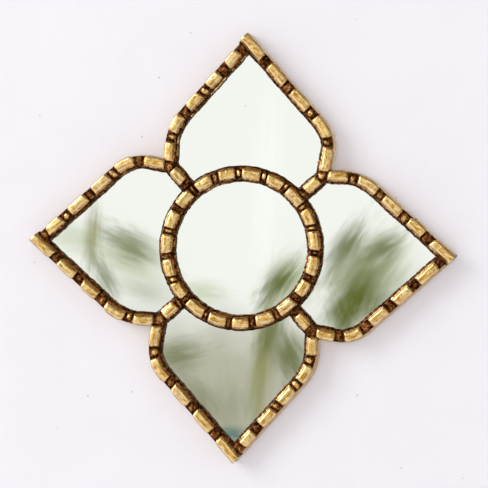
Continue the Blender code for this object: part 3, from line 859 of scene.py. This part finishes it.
def soft_noise(points, length, seed):
    """Smooth noise of about that wavelength at each point, from -1 to 1."""
    shift = Vector((seed * 7.31, seed * 3.17, seed * 5.93))
    return np.array([noise.noise(Vector(point) / length + shift) for point in points])


class Section:
    """Columns of points round a rail's section, and how they are gilded."""

    def __init__(self, outside, inside, half, tops, walled):
        self.before = len(outside)
        self.half = half
        self.walled = walled
        columns = [*outside, *((half * step, FRAME_DEPTH) for step in CROWN), *inside]
        self.across, self.depth = np.array(columns).T
        self.crown = slice(self.before, self.before + len(CROWN))
        over_glass = (self.depth > LIP_BACK - HAIR) & ((self.across < 0) | (not walled))
        self.ragged = np.where(over_glass, (np.abs(self.across) / half) ** LIP_RAGGED_POWER, 0)
        self.behind_lip = (self.depth < COPE_STEP) & (self.across > -half / 2)
        self.lip_feet = self.depth == LIP_BACK
        self.bare = (self.depth < LIP_BACK) & (np.abs(self.across) < SPINE_WIDTH)
        self.drops = [-BEVEL_DROP, 0, BEVEL_DROP, CROWN_HEIGHT]
        self.sides = [[top - BEVEL_RUN, top, top + BEVEL_RUN, half] for top in tops]

    def by_side(self, steps, values, known, sought):
        """Looks up values on the outer or the inner side's profile."""
        outer, inner = (np.interp(values, *pick) for pick in zip(known, sought))
        return np.where(steps > 0, outer, inner)

    def carve(self, along, carving):
        """Places across and heights over the crown, and the marks of its finish."""
        steps = np.broadcast_to(CROWN, along.shape)
        cut, *_ = carving.cut(along, self.half * steps)
        half_top = self.by_side(steps, cut, [self.drops] * 2, self.sides)
        on_top = half_top * np.abs(steps) / PAD_SHARE
        beyond = (np.abs(steps) - PAD_SHARE) / (1 - PAD_SHARE)
        on_flank = half_top + (self.half - half_top) * beyond
        out = np.sign(steps) * np.where(np.abs(steps) < PAD_SHARE, on_top, on_flank)
        cut, _, bead, end = carving.cut(along, out)
        pad = 1 - smooth(cut / BEAD_DROP)
        sag = PAD_CROWN * (out / half_top) ** 2
        top = FRAME_DEPTH - cut - pad * carving.unevenness(along, out) - sag
        flank = FRAME_DEPTH - self.by_side(steps, np.abs(out), self.sides, [self.drops] * 2)
        height = np.maximum(soft_min(flank, top, EDGE_ROUND), CROWN_BASE)

        fall = FRAME_DEPTH - cut - height
        beside = risen(fall, *FLANK_BEGINS)
        fall = fall + cut * beside
        washed = risen(cut, *WASH_BEGINS) * (1 - WASH_RUBBED * beside)
        leaf = 1 + TONE_SPREAD * carving.tone(along) * pad
        gilt = leaf * (1 - WASH_LOSS * washed) + bead * washed
        outer = (steps > 0) & self.walled
        outer_fade = 1 - OUTER_LOSS * risen(fall, *OUTER_FADE)
        fade_start, fade_run = INNER_FADE
        inner_fade = 1 - INNER_LOSS * np.clip((fall - fade_start) / fade_run, 0, 1)
        edge_line = np.exp(-(((np.abs(out) - half_top) / EDGE_LINE) ** 2))
        end_line = np.exp(-((end / END_LINE) ** 2)) * (fall < BEVEL_DROP / 2)
        wear = carving.wear(along) * (steps < -LIP_WORN)
        marks = {
            "gilt": gilt * np.where(outer, outer_fade, inner_fade) + LIP_GILT * wear,
            # painted highlights along a pad's edges and ends, and along an inner edge where it wears
            "worn": np.clip((edge_line + END_HIGHLIGHT * end_line) * pad * EDGE_HIGHLIGHT, 0, 1) + LIP_SHINE * wear,
            "tan": np.where(outer, risen(fall, *TAN_BEGINS), 0),
        }
        return out, height, marks

    def shape(self, distance, carving):
        """Places across and in depth for a grid of distances, and the marks of the finish."""
        across = np.broadcast_to(self.across, distance.shape).copy()
        depth = np.broadcast_to(self.depth, distance.shape).copy()
        marks = {name: np.zeros(distance.shape) for name in MARKS}
        across[:, self.crown], depth[:, self.crown], on_crown = self.carve(distance[:, self.crown], carving)
        for name, values in on_crown.items():
            marks[name][:, self.crown] = values
        if self.walled:
            marks["tan"][:, : self.before] = 1
            marks["gilt"][:, : self.before] = WALL_GILT
            marks["gilt"][:, :BACK_EDGE_COLUMNS] = BACK_EDGE_GILT
        marks["bare"][:, self.bare] = 1
        # a pale line along the foot of a lip: full leaf and a painted highlight
        marks["gilt"][:, self.lip_feet] = 1
        marks["worn"][:, self.lip_feet] = 1

        _, notch, _, _ = carving.cut(distance, across)
        share = risen(depth, WAIST_DEPTH, CROWN_BASE - WAIST_DEPTH)
        on_glass = (depth < CROWN_BASE + HAIR) & ((across < 0) | (not self.walled))
        waist = WAIST * notch * np.where(on_glass, LIP_WAIST, share)
        exposed = np.abs(across) > WALL_FACE + HAIR
        drawn_in = np.sign(across) * waist * (np.abs(across) / self.half) ** 2
        return across - np.where(exposed, drawn_in, 0), depth, marks


ARM_SECTION = Section(ARM_OUTSIDE, ARM_INSIDE, HALF_RAIL, ARM_TOP, walled=True)
RING_SECTION = Section(*spine(RING_HALF), RING_HALF, RING_TOP, walled=False)
NECK_SECTION = Section(*spine(NECK_HALF), NECK_HALF, NECK_TOP, walled=False)


def dress(mesh, marks, places):
    """Stores the marks of the finish, and places along and across the grain, on a mesh."""
    for name, values in marks.items():
        layer = mesh.attributes.new(name, "FLOAT", "POINT")
        layer.data.foreach_set("value", np.ravel(values).astype(np.float32))
    layer = mesh.attributes.new("along", "FLOAT_VECTOR", "POINT")
    layer.data.foreach_set("vector", np.ravel(places).astype(np.float32))


def carved_rail(node, path_at, section, starts, ends, carving, seed, quarters, material, closed=False):
    """A rail carved along its path, for a CAD node, turned clockwise by quarter turns."""
    rows = ceil(float(np.mean(ends - starts)) / STATION_STEP)
    shares = np.arange(rows) / (rows if closed else rows - 1)
    distance = starts + (ends - starts) * shares[:, None]
    across, depth, marks = section.shape(distance, carving)
    if not closed:
        stations = [(x, 0, 0) for x in distance.ravel()]
        sway = soft_noise(stations, RAIL_SWAY_LENGTH, seed).reshape(distance.shape)
        near_end = np.minimum(distance - starts.min(), ends.max() - distance)
        across = across + RAIL_SWAY * sway * smooth(near_end / RAIL_SWAY_LENGTH)
    flat_x, flat_z = path_at(distance, across)
    plan = np.stack([flat_x, depth, flat_z], axis=-1).reshape(-1, 3)
    ragged = soft_noise(plan, LIP_RAGGED_LENGTH, seed).reshape(distance.shape)
    x, z = path_at(distance, across + LIP_RAGGED * ragged * section.ragged)
    for _ in range(quarters):
        x, z = z, -x
    points = np.stack([CENTRE.x + x, -depth, CENTRE.z + z], axis=-1).reshape(-1, 3)
    cut, *_ = carving.cut(distance, across)
    carved = np.zeros(distance.shape)
    carved[:, section.crown] = 1 + CUT_ROUGHNESS * smooth(cut / BEAD_DROP)[:, section.crown]
    for height, length in TOOL_MARKS:
        points[:, 1] += height * soft_noise(points, length, seed) * carved.ravel()
    name = f"carved_{node}"
    mesh = mesh_of(name, points.tolist(), grid_faces(rows, distance.shape[1], closed), sharp=55)
    dress(mesh, marks, np.stack([distance, across, depth + seed], axis=-1))
    new_piece(name, mesh, node, material)


def add_arm(node, arm, through, seed, quarters, material):
    """An arm, which at its tip runs through or is scribed against the other arm's flank."""
    across = ARM_SECTION.across
    other = NARROW_ARM if arm is WIDE_ARM else WIDE_ARM
    if through:
        first = -HALF_RAIL / sin(TIP_ANGLE)
        over = np.clip(across - (HALF_RAIL - TIP_ROUND), 0, TIP_ROUND)
        starts = arm.meets(True, across, other.edge(HALF_RAIL)) + TIP_ROUND - np.sqrt(TIP_ROUND**2 - over**2)
        free_end = first
    else:
        first = HALF_RAIL / sin(TIP_ANGLE)
        on_crown = arm.meets(True, across, other.edge(SEAT_OVERLAP - HALF_RAIL))
        on_wall = arm.meets(True, across, other.edge(WALL_FACE - BEDDING_GAP))
        starts = np.where(ARM_SECTION.behind_lip, on_wall, on_crown)
        free_end = None
    pitch = (arm.length - first) / PADS_PER_ARM
    drift = NOTCH_DRIFTS.get(node, 0)
    centres = []
    for i in range(1 if through else 0, PADS_PER_ARM + 1):
        centres.append(first + i * pitch + drift * sin(pi * i / PADS_PER_ARM))
    mitre = ACROSS_MITRE if arm is WIDE_ARM else turned(ACROSS_MITRE, -1)
    neck_way = arm.end.normalized()
    on_mitre = arm.meets(False, across, (arm.end, mitre))
    on_neck = arm.meets(False, across, (neck_way * NECK_END, neck_way))
    ends = np.minimum(on_mitre, on_neck)
    carving = Carving(node, centres, ARM_NOTCH, seed, free_end, hollow=not through)
    carved_rail(node, arm.at, ARM_SECTION, starts, ends, carving, seed, quarters, material)


def add_ring(material):
    length = 2 * pi * RING_RADIUS
    pitch = length / PADS_ON_RING
    centres = [i * pitch for i in range(PADS_ON_RING)]
    node = "ring_rail"
    carving = Carving(node, centres, RING_NOTCH, RING_SEED, loop=length)
    starts = np.zeros(len(RING_SECTION.across))
    ends = starts + length
    carved_rail(node, ring_at, RING_SECTION, starts, ends, carving, RING_SEED, 0, material, closed=True)


def add_neck(node, seed, quarters, material):
    across = NECK_SECTION.across
    foot = RING_RADIUS + RING_HALF - SEAT_OVERLAP
    starts = np.sqrt(foot**2 - across**2)
    ends = np.full(len(across), NECK_END)
    carving = Carving(node, [foot, JUNCTION_REACH], ARM_NOTCH, seed)
    carved_rail(node, neck_at, NECK_SECTION, starts, ends, carving, seed, quarters, material)


def add_knob(name, seed, quarters, material):
    """The lump carved where two arms and a neck meet."""
    x, z = turned(JUNCTION, quarters)
    middle = Vector((CENTRE.x + x, 0, CENTRE.z + z))
    full = CROWN_HEIGHT - KNOB_DROP
    rings = revolved(dome(KNOB_RADIUS, -CROWN_BASE, -full, KNOB_RINGS), middle)
    points = np.array([*rings, (middle.x, -CROWN_BASE - full, middle.z)])
    bumps = sum(height * soft_noise(points, length, seed) for height, length in KNOB_MARKS)
    points[:, 1] += bumps
    out = points[:, [0, 2]] - (middle.x, middle.z)
    points[:, [0, 2]] += out * (bumps / KNOB_RADIUS)[:, None] * KNOB_SWELL
    faces = grid_faces(KNOB_RINGS, ROUND_STEPS, False)[:-1]
    last = (KNOB_RINGS - 1) * ROUND_STEPS
    top = len(points) - 1
    for j in range(ROUND_STEPS):
        faces.append((last + j, last + (j + 1) % ROUND_STEPS, top))
    mesh = mesh_of(name, points.tolist(), faces, sharp=60)
    rise = (-points[:, 1] - CROWN_BASE) / CROWN_HEIGHT
    least, more = KNOB_GILT
    marks = {mark: np.zeros(len(points)) for mark in MARKS}
    marks["gilt"] = least + more * risen(rise, *KNOB_RISE)
    dress(mesh, marks, points)
    new_piece(name, mesh, None, material)


def add_rails(material):
    add_ring(material)
    for i, petal in enumerate(PETALS):
        add_neck(f"{NECKS[i]}_neck", NECK_SEED + i, i, material)
        add_knob(f"{NECKS[i]}_knob", KNOB_SEED + i, i, material)
        wide = f"{petal}_petal_{WIDE_SIDES[i]}_arm"
        narrow = f"{petal}_petal_{NARROW_SIDES[i]}_arm"
        wide_through = i % 2 == 0
        add_arm(wide, WIDE_ARM, wide_through, WIDE_SEED + i, i, material)
        add_arm(narrow, NARROW_ARM, not wide_through, NARROW_SEED + i, i, material)


# Panes


def bare_shape(node):
    """Points and faces of a CAD node."""
    bm = bmesh.new()
    bm.from_mesh(frame["nodes"][node].data)
    bmesh.ops.remove_doubles(bm, verts=bm.verts, dist=1e-6)
    bm.verts.index_update()
    points = [tuple(vert.co) for vert in bm.verts]
    faces = [[vert.index for vert in face.verts] for face in bm.faces]
    bm.free()
    return points, faces


def add_panes(material):
    """The silver seen through the glass lies its thickness, divided by its index, below the front."""
    silver = GLASS_FRONT - (GLASS_FRONT - GLASS_BACK) / GLASS_INDEX
    middle = (GLASS_FRONT + GLASS_BACK) / 2
    for name in PANES:
        node = f"{name}_pane"
        points, faces = bare_shape(node)
        shaped = [(x, -silver if -y > middle else y, z) for x, y, z in points]
        mesh = mesh_of(f"silvered_{node}", shaped, faces, sharp=30)
        new_piece(f"silvered_{node}", mesh, node, material)


# Hanger, from its hinge


def add_strap(material):
    low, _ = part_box("hanger_strap")
    barrel = WIRE_RADIUS + STRAP_GAUGE + WIRE_CLEARANCE
    inside = barrel - STRAP_GAUGE
    foot = low.z - HINGE.z
    angles = [BARREL_TURN * i / ROUND_STEPS for i in range(ROUND_STEPS + 1)]
    outer = [(-cos(a) * barrel, sin(a) * barrel) for a in angles]
    inner = [(-cos(a) * inside, sin(a) * inside) for a in reversed(angles)]
    profile = [*outer, *inner, (-inside, foot), (-barrel, foot)]
    points = [HINGE + Vector((x, y, z)) for x in (-STRAP_WIDTH / 2, STRAP_WIDTH / 2) for y, z in profile]
    mesh = mesh_of("shaped_hanger_strap", points, grid_faces(2, len(profile), False), sharp=40)
    bm = bmesh.new()
    bm.from_mesh(mesh)
    corners = []
    for edge in bm.edges:
        first, second = (vert.co for vert in edge.verts)
        if max(first.z, second.z) < low.z + HAIR and abs(first.x - second.x) < HAIR:
            corners.append(edge)
    bmesh.ops.bevel(bm, geom=corners, offset=STRAP_CORNER, segments=BEND_STEPS, profile=0.5, affect="EDGES")
    bm.to_mesh(mesh)
    bm.free()
    mesh.set_sharp_from_angle(angle=radians(40))
    new_piece("shaped_hanger_strap", mesh, "hanger_strap", material)


def add_hanger_ring(material):
    half = HANGER_RING_WIDTH / 2
    corner = []
    for i in range(BEND_STEPS + 1):
        angle = pi / 2 * i / BEND_STEPS
        x = half - HANGER_RING_BEND * (1 - sin(angle))
        corner.append((x, HANGER_RING_BEND * (1 - cos(angle))))
    bow = []
    for i in range(ROUND_STEPS + 1):
        angle = pi * i / ROUND_STEPS
        bow.append((half * cos(angle), HANGER_RING_LEG + half * sin(angle)))
    loop = [*corner, *bow, *((-x, z) for x, z in reversed(corner))]
    points = []
    for i, (x, z) in enumerate(loop):
        before = Vector(loop[i - 1])
        after = Vector(loop[(i + 1) % len(loop)])
        way = (after - before).normalized()
        out = Vector((way.y, -way.x))
        for j in range(WIRE_STEPS):
            angle = 2 * pi * j / WIRE_STEPS
            spot = Vector((x, z)) + out * WIRE_RADIUS * cos(angle)
            points.append(HINGE + Vector((spot.x, WIRE_RADIUS * sin(angle), spot.y)))
    mesh = mesh_of("round_hanger_ring", points, grid_faces(len(loop), WIRE_STEPS, True), sharp=60)
    new_piece("round_hanger_ring", mesh, "hanger_ring", material, body="hanging_ring")


def slotted(mesh, centre, top, turn):
    """The mesh of a screw's head with a slot across it, cut by a box that is longer than the head."""
    bm = bmesh.new()
    bmesh.ops.create_cube(bm, size=1)
    size = Vector((SCREW_HEAD_RADIUS * 3, SCREW_SLOT_DEPTH * 2, SCREW_SLOT_WIDTH))
    spot = Matrix.Translation((centre.x, top, centre.z)) @ Matrix.Rotation(turn, 4, "Y")
    bmesh.ops.transform(bm, matrix=spot @ Matrix.Diagonal((*size, 1)), verts=bm.verts)
    tool_mesh = bpy.data.meshes.new("slot")
    bm.to_mesh(tool_mesh)
    bm.free()
    head = add_object("head", mesh)
    tool = add_object("slot", tool_mesh)
    head.modifiers.new("slot", "BOOLEAN").object = tool
    bpy.context.view_layer.update()
    cut = bpy.data.meshes.new_from_object(head.evaluated_get(bpy.context.evaluated_depsgraph_get()))
    for made in (head, tool):
        bpy.data.objects.remove(made)
    return cut


def add_screws(material):
    for name, turn in SLOT_TURNS.items():
        node = f"hanger_{name}_screw"
        low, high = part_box(node)
        centre = (low + high) / 2
        rim = high.y - SCREW_DOME_HEIGHT
        seat = rim - SCREW_RIM
        profile = [
            (SCREW_SHANK_RADIUS, low.y),
            (SCREW_SHANK_RADIUS, seat),
            (SCREW_HEAD_RADIUS, seat),
            *dome(SCREW_HEAD_RADIUS, rim, SCREW_DOME_HEIGHT, DOME_STEPS),
        ]
        points = revolved(profile, centre)
        mesh = mesh_of(f"slotted_{node}", points, grid_faces(len(profile), ROUND_STEPS, False), sharp=40)
        cut = slotted(mesh, centre, high.y, turn)
        cut.set_sharp_from_angle(angle=radians(40))
        new_piece(f"slotted_{node}", cut, node, material)


def finish_cad_nodes(board, steel):
    """The panel, the pins and the nails keep their solids and get their finish."""
    for name, node in frame["nodes"].items():
        if name == "back_panel" or "_pin_" in name or name.endswith("_tip_nail"):
            node.data.materials.clear()
            node.data.materials.append(board if name == "back_panel" else steel)


# Stage


def add_plane(name, corners, material):
    mesh = bpy.data.meshes.new(name)
    mesh.from_pydata(corners, [], [(0, 1, 2, 3)])
    mesh.materials.append(material)
    made = add_object(name, mesh)


def add_stage():
    left, right = CENTRE.x - STAGE_REACH, CENTRE.x + STAGE_REACH
    low, high = CENTRE.z - FLOOR_DROP, CENTRE.z + STAGE_REACH
    wall = [(left, WALL_GAP, low), (right, WALL_GAP, low), (right, WALL_GAP, high), (left, WALL_GAP, high)]
    add_plane("wall", wall, painted_wall())
    near, far = -STAGE_REACH, STAGE_REACH
    floor = [(left, near, low), (right, near, low), (right, far, low), (left, far, low)]
    add_plane("floor", floor, pale_floor())


def add_lights():
    for name, place, size, power in LAMPS:
        data = bpy.data.lights.new(name, "AREA")
        data.size = size
        data.energy = power
        aim(add_object(name, data), CENTRE + place, (-place).to_track_quat("-Z", "Y"))


def soft_shape(graph, place, below, shape):
    """Lays a blurred tuft of blades over what is below it."""
    x, z, half_length, half_width, lean, share, colour = shape
    sockets = {
        "Vector": place,
        "Location": (x, z, 0),
        "Rotation": (0, 0, radians(lean)),
        "Scale": (half_length, half_width, 1),
    }
    local = graph.add("ShaderNodeMapping", sockets, vector_type="TEXTURE").outputs[0]
    out = graph.add("ShaderNodeVectorMath", {0: local}, operation="LENGTH").outputs["Value"]
    blades = graph.noise(graph.stretched(local, BLADE_STRETCH), 1, 4, 0.55, 0.7)
    ragged = graph.math("MULTIPLY_ADD", blades, -BLADE_REACH, graph.math("ADD", out, BLADE_REACH / 2))
    return graph.mix(graph.ramp(ragged, *TUFT_EDGE, 0.0, share), below, colour)


def add_world():
    """Even pale light. What shines shows soft surroundings, out of focus: pale above, leafy below."""
    world = bpy.data.worlds.new("surroundings")
    world.use_nodes = True
    bpy.context.scene.world = world
    graph = Graph(world.node_tree)
    way = graph.add("ShaderNodeTexCoord").outputs["Generated"]
    side, _, up = graph.split(way)
    x = graph.math("MULTIPLY_ADD", side, SIGHT_SCALE, SIGHT_SCALE * SIGHT_SIDE)
    z = graph.math("MULTIPLY", up, SIGHT_SCALE)
    place = graph.add("ShaderNodeCombineXYZ", {0: x, 1: z}).outputs[0]
    dark = graph.math("MAXIMUM", graph.ramp(up, *DARK_ABOVE), graph.ramp(side, *DARK_RIGHT))
    shown = graph.mix(dark, PALE_TONE, DARK_TONE)
    cloud = graph.noise(place, 1.6, 3, 0.5)
    low = graph.ramp(graph.math("MULTIPLY_ADD", cloud, LOW_CLOUDS, z), *LOW_EDGE)
    shown = graph.mix(low, shown, LOW_TONE)
    for shape in SOFT_SHAPES:
        shown = soft_shape(graph, place, shown, shape)
    shown = graph.mix(graph.ramp(side, *BRIGHT_LEFT), shown, BRIGHT_TONE)
    colour = graph.mix(graph.light_path("Is Glossy Ray"), DAYLIGHT, shown)
    backed = graph.mix(graph.light_path("Is Camera Ray"), colour, BACKDROP)
    graph.put(world.node_tree.nodes["Background"].inputs["Color"], backed)


add_camera()
add_stage()
add_lights()
add_world()
gilding = gilded_wood()
steel = plated_steel()
add_rails(gilding)
add_panes(mirror_glass())
add_strap(steel)
add_hanger_ring(steel)
add_screws(steel)
finish_cad_nodes(hardboard(), steel)

bpy.context.scene.view_settings.view_transform = "Standard"
